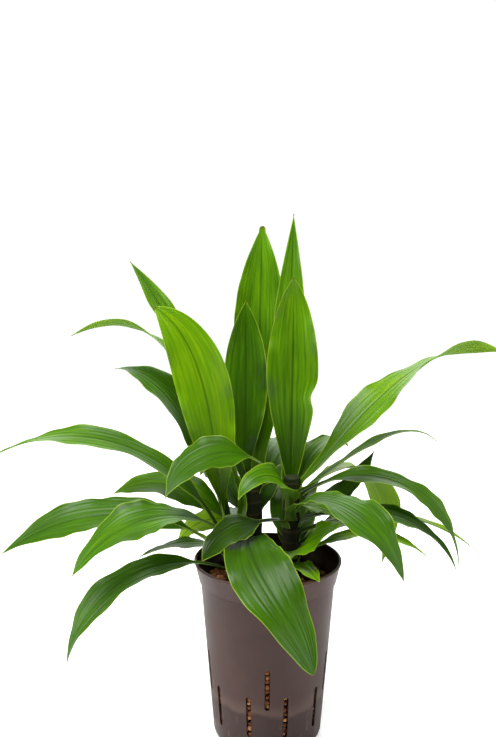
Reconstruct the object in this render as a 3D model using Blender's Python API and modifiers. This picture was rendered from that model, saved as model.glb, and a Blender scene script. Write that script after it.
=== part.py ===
"""A dracaena of three canes in a tapered culture pot that is filled with clay granules.

Every size below is in millimetres and becomes metres where a mesh is made. +Z is up, +X is to the
right, and -Y faces the viewer. The origin is at the centre of the pot's flat underside.
"""
import math

import bmesh
import bpy
import numpy as np
from mathutils import Matrix, Vector

MM = 0.001
GAP = 0.3                 # clearance between a piece and what carries it

# Pot: thin moulded plastic, 15 cm across the rim and 19 cm high
POT_HEIGHT = 190.0
RIM_RADIUS = 75.0
LIP_RADIUS = 1.5          # the rolled edge
COLLAR_TOP = 187.0
COLLAR_FOOT = 169.0
COLLAR_TOP_RADIUS = 74.0
COLLAR_FOOT_RADIUS = 70.0
WALL_TOP = 167.5          # where the collar steps in to the wall
WALL_TOP_RADIUS = 68.3
WALL_FOOT_RADIUS = 56.0
FOOT_CORNER = 10.0
WALL = 1.6
POT_STEPS = 64
CORNER_STEPS = 3
LIP_STEPS = 6

# Upright slots through the pot's wall, in two rings
SLOT_WIDTH = 5.0
SLOT_LENGTH = 44.0
UPPER_SLOTS = 5
UPPER_SLOT_FOOT = 55.0
LOWER_SLOTS = 10
LOWER_SLOT_FOOT = 24.0
SLOT_SIDES = 12
SLOT_CUT = 60.0           # length of the bar that cuts a slot, far past both faces of the wall
FRONT = -90.0             # direction of the viewer

# Clay granules, which stand together as one fill
CLAY_TOP = 165.0
PEBBLE_RELIEF = 2.4       # height of the pebbles on top, drawn larger than life
PEBBLE_PITCH = 17.0
PEBBLE_BEND = 0.7         # how far the rows of pebbles wander, and over what length
PEBBLE_BEND_X = 9.0
PEBBLE_BEND_Y = 11.0
CLAY_RINGS = 12
CLAY_STEPS = 48
STEM_DEPTH = 40.0         # how far a cane reaches down into the granules

# Canes: foot on the granules' top, lean per millimetre of height, height of the tip, radius
STEMS = {
    "left": dict(x=-32.0, y=4.0, lean_x=-0.06, lean_y=0.02, top=232.0, radius=8.0),
    "right": dict(x=22.0, y=-2.0, lean_x=0.02, lean_y=0.03, top=277.0, radius=8.5),
    "back": dict(x=-14.0, y=28.0, lean_x=0.0, lean_y=0.03, top=272.0, radius=8.0),
}
SCAR_SPACING = 12.0       # rings that fallen leaves left round a cane
SCAR_HEIGHT = 0.3
SCAR_START = 9.0          # from a cane's tip down to the first ring
SCAR_END = 3.0            # least height of the last ring above the granules
STEM_TIP = ((0.0, 0.0), (0.5, 1.5), (0.85, 5.0))     # shares of the radius, and depths below the tip
STEM_STEPS = 14
HOLE_SLACK = 0.1          # room for the flats of the faceted hole
HOLE_STEPS = 24

# Leaves. Each grows from a cane: seat is the height of its foot, side the direction of the cane's
# flank that it sits on, and turn the direction that its blade heads in, both in degrees from +X
# towards +Y. rise and tip are the slopes of the midrib at its foot and its end, and bend says how
# late the slope changes. length runs along the midrib, and width is across the widest place.
BLADE = 0.8               # thickness
BLADE_SEAT = 1.1          # from the cane's surface to the middle of the blade's foot
STRIP = 23.0              # length of one step along the blade
FEWEST_STRIPS = 8
MOST_STRIPS = 14
STRIPS_ACROSS = 4
CROWDING = 1.35           # draws the steps together towards the foot, where the blade turns most
SHEATH = 13.0             # height over which the foot hugs the cane
SWING = 45.0              # run over which the heading goes from side to turn
ROLL_SHARE = 0.28         # share of the length over which the blade rolls about its midrib
FLARE = 1.5               # the foot is this much wider each way, fading over FLARE_RUN
FLARE_RUN = 8.0
NECK_RUN = 30.0           # run over which a broad neck opens
TIP_HALF = 0.7            # half the width of the blunt tip
MIDRIB_STEPS = 240
LEAVES = (
    dict(stem="left", seat=218, side=40, turn=141, rise=67.5, tip=41, bend=1.4, length=322,
         width=36, widest=0.6, stalk=0.15),
    dict(stem="left", seat=215, side=214, turn=168, rise=83, tip=30, bend=3.9, length=248, width=55,
         widest=0.58, roll=-70, point=0.8),
    dict(stem="left", seat=216, side=127, turn=155, rise=79, tip=-77, bend=2.7, length=330,
         width=24, twist=60, hook=52, stalk=0.2, grip=4.5),
    dict(stem="left", seat=200, side=122, turn=155, rise=70, tip=-12, bend=3.0, length=242,
         width=46, widest=0.55, roll=-10, stalk=0.2),
    dict(stem="left", seat=188, side=170, turn=172, rise=78, tip=-32, bend=0.9, length=316,
         width=38, widest=0.5, roll=-20, twist=25, stalk=0.2, point=0.8),
    dict(stem="right", seat=254, side=176, turn=204, rise=67, tip=-72, length=165, width=52,
         widest=0.42, roll=-20, stalk=0.34, point=1.5, cup=10, grip=4.5),
    dict(stem="left", seat=178, side=165, turn=186, rise=59, tip=-37, bend=0.75, length=259,
         width=48, roll=-28, stalk=0.22, grip=4.0),
    dict(stem="left", seat=196, side=252, turn=203, rise=72, tip=-56, bend=0.8, length=204,
         width=56, roll=-12, stalk=0.28),
    dict(stem="left", seat=186, side=85, turn=165, rise=70, tip=-33, bend=1.0, length=181, width=42,
         roll=-25, stalk=0.25),
    dict(stem="left", seat=170, side=232, turn=200, rise=35, tip=-81, bend=1.05, length=225,
         width=40, roll=-15, stalk=0.22, grip=4.5),
    dict(stem="left", seat=172, side=100, turn=192, rise=26, tip=-27, bend=1.4, length=118,
         width=26, stalk=0.15, grip=4.0),
    dict(stem="back", seat=206, side=165, turn=160, rise=26, tip=-66, bend=1.0, length=102,
         width=30, roll=-40, stalk=0.2),
    dict(stem="left", seat=182, side=285, turn=185, rise=40, tip=24, bend=1.0, length=94, width=10,
         grip=3.0),
    dict(stem="right", seat=224, side=225, turn=208, rise=22, tip=-52, bend=1.1, length=109,
         width=42, roll=-12, stalk=0.34, neck=1.0),
    dict(stem="back", seat=194, side=-80, turn=-122, sweep=101, rise=35, tip=-71, bend=1.05,
         length=236, width=58, widest=0.5, roll=15, stalk=0.18, point=0.75, cup=8, neck=8.0),
    dict(stem="right", seat=182, side=-78, turn=-60, rise=20, tip=-15, bend=1.0, length=66,
         width=24, grip=4.0),
    dict(stem="right", seat=242, side=258, turn=216, rise=86, tip=-70, bend=1.3, length=100,
         width=34, widest=0.36, roll=-25, grip=4.2, neck=4.0),
    dict(stem="right", seat=268, side=92, turn=84, rise=88, tip=78, bend=1.5, length=206, width=52,
         widest=0.5, hook=30, point=0.85, grip=6.0, neck=9.0),
    dict(stem="back", seat=246, side=75, turn=84, rise=84, tip=77, length=281, width=57,
         widest=0.52, point=0.9, neck=5.0, blunt=3.5),
    dict(stem="right", seat=240, side=122, turn=81, rise=79, tip=78, length=302, width=34,
         widest=0.5, point=1.2, grip=4.5),
    dict(stem="back", seat=266, side=150, turn=90, rise=84, tip=86, length=182, width=46,
         widest=0.5, point=0.95, neck=6.0),
    dict(stem="right", seat=262, side=5, turn=25, rise=45, tip=-27, bend=2.5, length=303, width=46,
         widest=0.42, roll=22, twist=-150, point=1.5, neck=5.0),
    dict(stem="right", seat=254, side=-60, turn=5, rise=36, tip=-58, bend=4.6, length=172,
         width=18),
    dict(stem="right", seat=216, side=45, turn=12, rise=16, tip=66, length=120, width=30, roll=20),
    dict(stem="right", seat=248, side=5, turn=-5, rise=43, tip=-88, bend=1.0, length=223, width=38,
         roll=12, stalk=0.15),
    dict(stem="right", seat=224, side=-3, turn=-4, rise=17, tip=-72, bend=1.6, length=190, width=28,
         roll=12),
    dict(stem="right", seat=208, side=18, turn=6, rise=23, tip=-46, length=212, width=22),
    dict(stem="right", seat=232, side=-95, turn=-42, rise=56, tip=-66, bend=0.9, length=182,
         width=58, stalk=0.16),
    dict(stem="right", seat=236, side=42, turn=46, rise=56, tip=-112, bend=0.9, length=254,
         width=46, stalk=0.18, grip=4.5),
    dict(stem="right", seat=186, side=-10, turn=-8, rise=37, tip=-44, bend=1.4, length=148,
         width=24, grip=4.0),
    dict(stem="right", seat=192, side=-75, turn=-42, rise=35, tip=36, bend=1.0, length=90, width=44,
         widest=0.36, roll=32, cup=12, neck=3.0),
    dict(stem="right", seat=240, side=-30, turn=-28, rise=8, tip=-25, bend=1.0, length=58, width=30,
         grip=4.5, neck=2.0),
    dict(stem="right", seat=254, side=60, turn=50, rise=66, tip=-46, bend=1.3, length=120, width=26,
         grip=4.5),
    dict(stem="back", seat=236, side=130, turn=98, rise=62, tip=-20, length=240, width=48),
    dict(stem="back", seat=222, side=72, turn=74, rise=70, tip=-50, bend=0.8, length=230, width=46,
         widest=0.35, stalk=0.03, neck=6.0),
    dict(stem="right", seat=202, side=100, turn=80, rise=50, tip=-75, bend=0.9, length=230,
         width=46, widest=0.35, stalk=0.03, neck=5.0),
    dict(stem="right", seat=196, side=24, turn=38, rise=22, tip=-25, bend=1.1, length=150,
         width=38),
    dict(stem="back", seat=220, side=178, turn=120, rise=64, tip=-40, bend=1.1, length=115,
         width=36, widest=0.4, stalk=0.05, neck=5.0),
    dict(stem="back", seat=250, side=-12, turn=55, rise=29, tip=8, length=120, width=32),
    dict(stem="back", seat=190, side=110, turn=100, rise=45, tip=-80, bend=0.8, length=195,
         width=42, widest=0.35, stalk=0.03, neck=5.0),
    dict(stem="right", seat=190, side=84, turn=82, rise=45, tip=-80, bend=0.8, length=180, width=40,
         widest=0.35, stalk=0.03, neck=5.0),
)
WAVE = 0.07               # rise and fall of a blade's edge, as a share of its width
WAVES = 2.5               # number of waves along each edge
WAVE_SHIFT = 0.37         # how far the waves move along from one leaf to the next


def clear_scene():
    """Remove whatever the file already holds."""
    for old in list(bpy.data.objects):
        bpy.data.objects.remove(old, do_unlink=True)


def collection(name):
    """A new collection in the scene."""
    made = bpy.data.collections.new(name)
    bpy.context.scene.collection.children.link(made)
    return made


def material(name, colour, roughness):
    """A Principled material with one colour, given as linear red, green and blue."""
    made = bpy.data.materials.new(name)
    made.use_nodes = True
    shader = made.node_tree.nodes["Principled BSDF"]
    shader.inputs["Base Color"].default_value = (*colour, 1.0)
    shader.inputs["Roughness"].default_value = roughness
    shader.inputs["Metallic"].default_value = 0.0
    made.diffuse_color = (*colour, 1.0)
    return made


def mesh_object(name, mesh, home, finish=None):
    """An object for a mesh, in its collection and with its material."""
    made = bpy.data.objects.new(name, mesh)
    home.objects.link(made)
    if finish:
        mesh.materials.append(finish)
    return made


def profile_object(name, profile, steps, home, finish=None):
    """A turned piece: a profile of (radius, height) points in millimetres, with a Screw modifier."""
    mesh = bpy.data.meshes.new(name)
    points = [(radius * MM, 0.0, height * MM) for radius, height in profile]
    edges = [(i, i + 1) for i in range(len(points) - 1)]
    mesh.from_pydata(points, edges, [])
    made = mesh_object(name, mesh, home, finish)
    screw = made.modifiers.new("Turn", "SCREW")
    screw.axis = "Z"
    screw.angle = math.tau
    screw.steps = steps
    screw.render_steps = steps
    screw.use_merge_vertices = True
    screw.merge_threshold = 0.00005
    return made


def frozen(source):
    """The object with its modifiers applied, as a plain mesh."""
    depsgraph = bpy.context.evaluated_depsgraph_get()
    mesh = bpy.data.meshes.new_from_object(source.evaluated_get(depsgraph))
    source.modifiers.clear()
    source.data = mesh
    return source


def arc(centre, radius, start, end, steps):
    """Points on a circle about (radius, height), from one angle to another in degrees."""
    turns = [math.radians(start + (end - start) * i / steps) for i in range(steps + 1)]
    return [(centre[0] + radius * math.cos(a), centre[1] + radius * math.sin(a)) for a in turns]


def wall_radius(height):
    """Radius of the pot's outer wall at a height below the collar."""
    share = (height - FOOT_CORNER) / (WALL_TOP - FOOT_CORNER)
    return WALL_FOOT_RADIUS + share * (WALL_TOP_RADIUS - WALL_FOOT_RADIUS)


def pot_profile():
    """From the middle of the floor up the inside, over the lip and down the outside."""
    corner = (WALL_FOOT_RADIUS - FOOT_CORNER, FOOT_CORNER)
    lip = (RIM_RADIUS - LIP_RADIUS, POT_HEIGHT - LIP_RADIUS)
    inside = [(0.0, WALL)] + arc(corner, FOOT_CORNER - WALL, -90, 0, CORNER_STEPS)
    inside += [(WALL_TOP_RADIUS - WALL, WALL_TOP), (COLLAR_FOOT_RADIUS - WALL, COLLAR_FOOT + WALL),
               (COLLAR_TOP_RADIUS - WALL, COLLAR_TOP)]
    outside = [(COLLAR_FOOT_RADIUS, COLLAR_FOOT), (WALL_TOP_RADIUS, WALL_TOP)]
    outside += arc(corner, FOOT_CORNER, 0, -90, CORNER_STEPS) + [(0.0, 0.0)]
    return inside + arc(lip, LIP_RADIUS, 180, -60, LIP_STEPS) + outside


def slot_cutter(name, azimuth, foot, home):
    """A round bar whose upper half is moved up, so that it cuts a slot with round ends."""
    shape = bmesh.new()
    bmesh.ops.create_cone(shape, cap_ends=True, segments=SLOT_SIDES, radius1=SLOT_WIDTH / 2 * MM,
                          radius2=SLOT_WIDTH / 2 * MM, depth=SLOT_CUT * MM,
                          matrix=Matrix.Rotation(math.radians(180 / SLOT_SIDES), 4, "Z"))
    stretch = (SLOT_LENGTH - SLOT_WIDTH) / 2 * MM
    for point in shape.verts:
        point.co.y += math.copysign(stretch, point.co.y)
    middle = foot + SLOT_LENGTH / 2
    outward = Matrix.Rotation(math.radians(azimuth), 4, "Z")
    place = outward @ Matrix.Translation((wall_radius(middle) * MM, 0.0, middle * MM))
    lay = Matrix(((0, 0, 1, 0), (1, 0, 0, 0), (0, 1, 0, 0), (0, 0, 0, 1)))      # the bar's Z to +X
    shape.transform(place @ lay)
    mesh = bpy.data.meshes.new(name)
    shape.to_mesh(mesh)
    shape.free()
    return cutter(mesh_object(name, mesh, home))


def cutter(made):
    """Mark an object as a tool that isn't part of the plant."""
    made.hide_render = True
    made.display_type = "WIRE"
    return made


def build_pot(home):
    """The turned pot with its two rings of slots."""
    plastic = material("pot_plastic", (0.095, 0.065, 0.056), 0.55)
    pot = profile_object("pot", pot_profile(), POT_STEPS, home, plastic)
    cutters = collection("slot_cutters")
    half_pitch = 180.0 / LOWER_SLOTS
    for ring, count, foot, first in (("upper", UPPER_SLOTS, UPPER_SLOT_FOOT, FRONT),
                                     ("lower", LOWER_SLOTS, LOWER_SLOT_FOOT, FRONT + half_pitch)):
        for i in range(count):
            slot_cutter(f"{ring}_slot_{i + 1}", first + 360.0 * i / count, foot, cutters)
    cut = pot.modifiers.new("Slots", "BOOLEAN")
    cut.operation = "DIFFERENCE"
    cut.operand_type = "COLLECTION"
    cut.collection = cutters
    cut.solver = "EXACT"


def clay_profile():
    """From the middle of the top out to the wall, down the wall and in to the middle of the floor."""
    corner = (WALL_FOOT_RADIUS - FOOT_CORNER, FOOT_CORNER)
    edge = wall_radius(CLAY_TOP) - WALL - GAP
    top = [(edge * i / CLAY_RINGS, CLAY_TOP) for i in range(CLAY_RINGS + 1)]
    side = arc(corner, FOOT_CORNER - WALL - GAP, 0, -90, CORNER_STEPS)
    return top + side + [(0.0, WALL + GAP)]


def pebbles(x, y):
    """Relief of the top: two crossed rows of half waves, bent so that they look unordered."""
    across = np.abs(np.cos(math.pi * x / PEBBLE_PITCH + PEBBLE_BEND * np.sin(y / PEBBLE_BEND_X)))
    along = np.abs(np.cos(math.pi * y / PEBBLE_PITCH + PEBBLE_BEND * np.sin(x / PEBBLE_BEND_Y)))
    return PEBBLE_RELIEF * np.sqrt(across * along)


def build_clay(home):
    """The fill of granules, with a plain hole for each cane."""
    fired_clay = material("fired_clay", (0.30, 0.13, 0.06), 0.9)
    clay = frozen(profile_object("clay_granules", clay_profile(), CLAY_STEPS, home, fired_clay))
    for point in clay.data.vertices:
        x, y, z = point.co / MM
        if z > CLAY_TOP - 1.0:
            point.co.z += float(pebbles(x, y)) * MM
    cutters = collection("stem_hole_cutters")
    for name, stem in STEMS.items():
        radius = stem["radius"] + GAP + HOLE_SLACK
        depth = STEM_DEPTH + GAP
        bar = [(0.0, depth), (radius, depth), (radius, -depth), (0.0, -depth)]
        hole = profile_object(f"stem_{name}_hole", bar, HOLE_STEPS, cutters)
        hole.matrix_world = stem_frame(stem)
        cutter(hole)
    cut = clay.modifiers.new("Stem holes", "BOOLEAN")
    cut.operation = "DIFFERENCE"
    cut.operand_type = "COLLECTION"
    cut.collection = cutters
    cut.solver = "EXACT"


def stem_axis(stem):
    """Unit vector up a cane."""
    return Vector((stem["lean_x"], stem["lean_y"], 1.0)).normalized()


def stem_frame(stem):
    """Places a piece that is turned about Z on a cane's axis, at the granules' top."""
    lean = Vector((0, 0, 1)).rotation_difference(stem_axis(stem)).to_matrix().to_4x4()
    return Matrix.Translation(Vector((stem["x"], stem["y"], CLAY_TOP)) * MM) @ lean


def stem_profile(stem):
    """From the rounded tip down past the leaf scars to the foot in the granules."""
    radius = stem["radius"]
    length = (stem["top"] - CLAY_TOP) / stem_axis(stem).z
    profile = [(radius * share, length - depth) for share, depth in STEM_TIP]
    for i in range(int((length - SCAR_START - SCAR_END) / SCAR_SPACING)):
        height = length - SCAR_START - i * SCAR_SPACING
        profile += [(radius, height), (radius + SCAR_HEIGHT, height - SCAR_SPACING / 5)]
    return profile + [(radius, SCAR_END - 1.0), (radius, -STEM_DEPTH), (0.0, -STEM_DEPTH)]


def build_stems(home):
    """The three canes."""
    for name, stem in STEMS.items():
        cane = material(f"cane_{name}", (0.09, 0.075, 0.035), 0.7)
        made = profile_object(f"stem_{name}", stem_profile(stem), STEM_STEPS, home, cane)
        made.matrix_world = stem_frame(stem)


def smooth(t):
    """A ramp from 0 to 1 with level ends: 3 t squared less 2 t cubed."""
    t = np.clip(t, 0.0, 1.0)
    return t * t * (3.0 - 2.0 * t)


def unit(vectors):
    """Each row of an array made one long."""
    return vectors / np.linalg.norm(vectors, axis=1, keepdims=True)


def leaf_points(s, v, number, stem, seat, side, turn, rise, tip, length, width, bend=1.2, sweep=0.0,
                widest=0.45, roll=0.0, twist=0.0, hook=0.0, stalk=0.1, point=1.1, cup=18.0, grip=5.5,
                neck=0.0, blunt=TIP_HALF):
    """Points of a blade in millimetres, for s along it from 0 to 1 and v across it from -1 to 1.

    The midrib is walked from the foot: its slope goes from rise to tip, and its heading from side
    to turn. At each place the blade is an arc across the midrib. At the foot the arc is the cane's
    own and is grip wide each way, then it widens by neck, opens to cup degrees, rolls about the
    midrib and narrows to the point, which is never narrower than blunt each way. The edges rise
    and fall in waves, half a wave apart.
    """
    cane = STEMS[stem]
    seat_radius = cane["radius"] + BLADE_SEAT
    steps = np.linspace(0.0, 1.0, MIDRIB_STEPS + 1)
    run = steps * length
    slope = np.radians(rise + (tip - rise) * steps ** bend + hook * steps ** 8)
    heading = np.radians(side + (turn - side) * smooth(run / SWING) + sweep * steps)
    free = np.stack([np.cos(heading) * np.cos(slope), np.sin(heading) * np.cos(slope),
                     np.sin(slope)], axis=1)
    leave = smooth(run / SHEATH)[:, None]
    along = unit((1.0 - leave) * np.array(stem_axis(cane)) + leave * free)
    climb = seat - CLAY_TOP
    foot = np.array([cane["x"] + cane["lean_x"] * climb + seat_radius * math.cos(heading[0]),
                     cane["y"] + cane["lean_y"] * climb + seat_radius * math.sin(heading[0]), seat])
    halfway = (along[1:] + along[:-1]) / 2
    midrib = foot + np.vstack([np.zeros(3), np.cumsum(halfway, axis=0)]) * length / MIDRIB_STEPS

    level = np.stack([-np.sin(heading), np.cos(heading), np.zeros_like(heading)], axis=1)
    level = unit(level - along * np.sum(level * along, axis=1, keepdims=True))
    upper = np.cross(along, level)
    tilt = np.radians(roll * smooth((run - SHEATH * 0.6) / (ROLL_SHARE * length)) + twist * steps ** 3)
    tilt = tilt[:, None]
    across = level * np.cos(tilt) + upper * np.sin(tilt)
    face = upper * np.cos(tilt) - level * np.sin(tilt)

    blade = np.clip((steps - stalk) / (1.0 - stalk), 0.0, 1.0)
    power = point * widest / (1.0 - widest)
    peak = widest ** power * (1.0 - widest) ** point
    outline = blade ** power * (1.0 - blade) ** point / peak
    stalk_width = (grip + neck * smooth(run / NECK_RUN)) * (1.0 - steps) ** 2
    stalk_width += FLARE * np.exp(-run / FLARE_RUN)
    half = np.maximum(np.hypot(width / 2 * outline, stalk_width), blunt)
    hug = np.exp(-(run / (SHEATH * 0.8)) ** 2)
    wrap = math.degrees(half[0] / seat_radius)
    bow = np.radians(cup + (wrap - cup) * hug)
    ripple = WAVE * width * outline * smooth(steps / 0.2)

    def at(values):
        """The values at each point's own place along the midrib."""
        if values.ndim == 1:
            return np.interp(s, steps, values)
        return np.stack([np.interp(s, steps, values[:, i]) for i in range(3)], axis=1)

    turned = at(bow) * v
    sideways = at(half) * np.sin(turned) / at(bow)
    lift = at(half) * (1.0 - np.cos(turned)) / at(bow)
    phase = WAVES * s + WAVE_SHIFT * number + 0.25 * np.sign(v)
    lift = lift + at(ripple) * v ** 2 * np.sin(math.tau * phase)
    return at(midrib) + at(across) * sideways[:, None] + at(face) * lift[:, None]


def build_leaf(number, leaf, home):
    """One blade: a grid moved onto its surface, split into triangles and then given thickness."""
    name = f"leaf_{number:02d}"
    shape = bmesh.new()
    strips = int(np.clip(round(leaf["length"] / STRIP), FEWEST_STRIPS, MOST_STRIPS))
    bmesh.ops.create_grid(shape, x_segments=strips, y_segments=STRIPS_ACROSS, size=1.0)
    flat = np.array([vertex.co for vertex in shape.verts])
    s = ((flat[:, 0] + 1.0) / 2) ** CROWDING
    for vertex, place in zip(shape.verts, leaf_points(s, flat[:, 1], number, **leaf)):
        vertex.co = Vector(place) * MM
    bmesh.ops.triangulate(shape, faces=shape.faces)
    mesh = bpy.data.meshes.new(name)
    shape.to_mesh(mesh)
    shape.free()
    mesh.shade_smooth()
    green = material(f"{name}_green", (0.085, 0.19, 0.02), 0.35)
    made = mesh_object(name, mesh, home, green)
    thicken = made.modifiers.new("Thickness", "SOLIDIFY")
    thicken.thickness = BLADE * MM
    thicken.offset = 0.0


clear_scene()
plant = collection("potted_dracaena")
build_pot(plant)
build_clay(plant)
build_stems(plant)
for leaf_number, leaf_sizes in enumerate(LEAVES, start=1):
    build_leaf(leaf_number, leaf_sizes, plant)
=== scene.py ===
import math

import bpy
import numpy as np
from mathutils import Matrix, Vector


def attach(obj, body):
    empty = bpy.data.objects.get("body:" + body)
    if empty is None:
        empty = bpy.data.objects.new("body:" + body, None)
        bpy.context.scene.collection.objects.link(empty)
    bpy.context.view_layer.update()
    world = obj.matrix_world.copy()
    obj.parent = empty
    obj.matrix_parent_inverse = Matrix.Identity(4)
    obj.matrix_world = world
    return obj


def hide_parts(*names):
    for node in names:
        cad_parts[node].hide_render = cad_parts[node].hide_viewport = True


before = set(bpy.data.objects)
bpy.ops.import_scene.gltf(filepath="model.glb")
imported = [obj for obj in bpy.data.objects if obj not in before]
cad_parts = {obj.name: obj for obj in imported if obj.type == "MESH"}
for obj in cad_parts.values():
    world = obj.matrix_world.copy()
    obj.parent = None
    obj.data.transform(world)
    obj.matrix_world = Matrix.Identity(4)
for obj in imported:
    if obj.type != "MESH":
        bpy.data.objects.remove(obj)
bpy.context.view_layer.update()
scene = bpy.context.scene

# The camera stands a little under a metre in front of the plant and above its pot, and looks nine
# degrees down. Its long side, the picture's height, takes the sensor.
IMAGE_HEIGHT = 737                     # pixels of a picture that is 496 wide
FOCAL_LENGTH = 900.0                   # in the same pixels
CAMERA_PLACE = (0.0, -0.875, 0.528)    # metres
CAMERA_DOWN = 0.162                    # radians below the level
CAMERA_LEFT = 0.023                    # radians to the left of straight ahead

camera = bpy.data.objects.new("camera", bpy.data.cameras.new("camera"))
camera.location = CAMERA_PLACE
camera.rotation_euler = (math.pi / 2 - CAMERA_DOWN, 0.0, CAMERA_LEFT)
camera.data.lens = FOCAL_LENGTH / IMAGE_HEIGHT * camera.data.sensor_width
scene.collection.objects.link(camera)
scene.camera = camera

# Pot: a tapered culture pot, injection moulded in taupe polypropylene with a stepped collar and a
# rolled lip. Two rings of upright slots let water in. The plant stands in it, in clay granules.
MM = 0.001
POT_HEIGHT = 190.0
RIM_RADIUS = 75.0
LIP_RADIUS = 1.5
COLLAR_TOP = (74.0, 187.0)             # radius and height of the collar's edges
COLLAR_FOOT = (70.0, 169.0)
WALL_TOP = (68.3, 167.5)
WALL_FOOT_RADIUS = 56.0
FOOT_CORNER = 10.0
WALL = 1.6
EDGE = 0.5                             # rounding of the collar's lower edge
SLOT_WIDTH = 5.0
SLOT_LENGTH = 44.0
UPPER_SLOT_FOOT = 55.0
LOWER_SLOT_FOOT = 24.0
SECTORS = 20                           # one slot's width of wall each, half of them without a slot
FRONT = -90.0                          # direction of the viewer, in degrees from +X
SLOT_SPREAD = 8.0                      # how far from a slot's round end the rows still bend
SLOT_COLUMNS = 7                       # columns of points across a slot
WALL_COLUMNS = 3                       # steps along the wall from a slot's edge to the sector's end
CORNER_STEPS = 8
LIP_STEPS = 12
FLOOR_ROWS = 6
FLOOR_HUB = 8.0                        # radius of the fan of triangles in the middle of the floor
LEAST_RADIUS = 50.0                    # further in, the columns keep the angles that they have here
WALL_ROWS = np.array([10, 15, 20, 24, 28, 34, 41, 48, 55, 59, 63.5, 68, 73, 79, 85, 91, 95, 99, 104,
                      111, 119, 128, 137, 146, 155, 162, 167.5])      # among them both slots' ends


def linear(colour):
    """An sRGB hex colour as linear red, green, blue and a full alpha: each share over 0.04045 has
    0.055 added, is divided by 1.055 and raised to 2.4, and each lower one is divided by 12.92."""
    shares = [int(colour[i:i + 2], 16) / 255 for i in (1, 3, 5)]
    return (*[c / 12.92 if c <= 0.04045 else ((c + 0.055) / 1.055) ** 2.4 for c in shares], 1.0)


def add(tree, kind, inputs=None, **settings):
    """Adds a shader node, sets its properties, and gives its inputs values or other nodes' outputs."""
    made = tree.nodes.new("ShaderNode" + kind)
    for name, value in settings.items():
        setattr(made, name, value)
    for name, value in (inputs or {}).items():
        if isinstance(value, bpy.types.NodeSocket):
            tree.links.new(value, made.inputs[name])
        else:
            made.inputs[name].default_value = value
    return made


def ramp(tree, factor, stops):
    """A colour that goes through the stops, each a place from 0 to 1 and an sRGB hex colour."""
    made = add(tree, "ValToRGB", {"Fac": factor})
    made.color_ramp.elements.remove(made.color_ramp.elements[1])
    made.color_ramp.elements[0].position = stops[0][0]
    made.color_ramp.elements[0].color = linear(stops[0][1])
    for place, colour in stops[1:]:
        made.color_ramp.elements.new(place).color = linear(colour)
    return made.outputs["Color"]


def blend(tree, factor, first, second):
    """A mix of two colours, each an output or an sRGB hex colour."""
    first, second = [linear(c) if isinstance(c, str) else c for c in (first, second)]
    made = add(tree, "Mix", {0: factor, 6: first, 7: second}, data_type="RGBA", blend_type="MIX")
    return made.outputs[2]


def new_material(name):
    """A material with only a Principled shader and its output, and its node tree."""
    made = bpy.data.materials.new(name)
    made.use_nodes = True
    return made, made.node_tree, made.node_tree.nodes["Principled BSDF"]


def grid_faces(rows, columns, ring=False):
    """Quads of a grid of points that are kept row by row. A ring joins the last column to the first."""
    i, j = np.meshgrid(np.arange(rows - 1), np.arange(columns - (not ring)), indexing="ij")
    beside = (j + 1) % columns
    corners = [i * columns + j, i * columns + beside, (i + 1) * columns + beside, (i + 1) * columns + j]
    return np.stack(corners, axis=-1).reshape(-1, 4)


def fan(hub, ring):
    """Triangles from one point to a ring of points, each to the next and the last to the first."""
    return np.stack([np.full(len(ring), hub), ring, np.roll(ring, -1)], axis=1)


def piece(name, points, faces, finish, slot, *nodes, crease=40.0, **attributes):
    """A shown piece of the part. Points are in millimetres, faces is a list of arrays of corners, and
    each attribute is one number or one triple a point. Edges sharper than crease degrees stay sharp."""
    mesh = bpy.data.meshes.new(name)
    corners = np.concatenate([block.ravel() for block in faces]).astype(np.int32)
    sides = np.concatenate([np.full(len(block), block.shape[1]) for block in faces])
    mesh.vertices.add(len(points))
    mesh.vertices.foreach_set("co", (points * MM).astype(np.float32).ravel())
    mesh.loops.add(len(corners))
    mesh.loops.foreach_set("vertex_index", corners)
    mesh.polygons.add(len(sides))
    mesh.polygons.foreach_set("loop_start", (np.cumsum(sides) - sides).astype(np.int32))
    mesh.update(calc_edges=True)
    for key, values in attributes.items():
        kind, field = ("FLOAT_VECTOR", "vector") if values.ndim == 2 else ("FLOAT", "value")
        layer = mesh.attributes.new(key, kind, "POINT")
        layer.data.foreach_set(field, values.astype(np.float32).ravel())
    mesh.shade_smooth()
    mesh.set_sharp_from_angle(angle=math.radians(crease))
    mesh.materials.append(finish)
    made = bpy.data.objects.new(name, mesh)
    scene.collection.objects.link(made)
    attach(made, "root")
    if nodes:
        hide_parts(*nodes)


def arc(centre, radius, start, end, steps):
    """Points on a circle about a radius and a height, from one angle to another in degrees."""
    turns = np.radians(np.linspace(start, end, steps + 1))
    return np.stack([centre[0] + radius * np.cos(turns), centre[1] + radius * np.sin(turns)], axis=1)


def wall_radius(height):
    """Radius of the pot's outer wall, which grows evenly from the foot's corner to the collar."""
    share = (height - FOOT_CORNER) / (WALL_TOP[1] - FOOT_CORNER)
    return WALL_FOOT_RADIUS + share * (WALL_TOP[0] - WALL_FOOT_RADIUS)


def slot_of(sector):
    """Height of a sector's slot, or none: every second sector has a lower one, every fourth an upper."""
    return LOWER_SLOT_FOOT if sector % 2 else UPPER_SLOT_FOOT if sector % 4 == 0 else None


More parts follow.
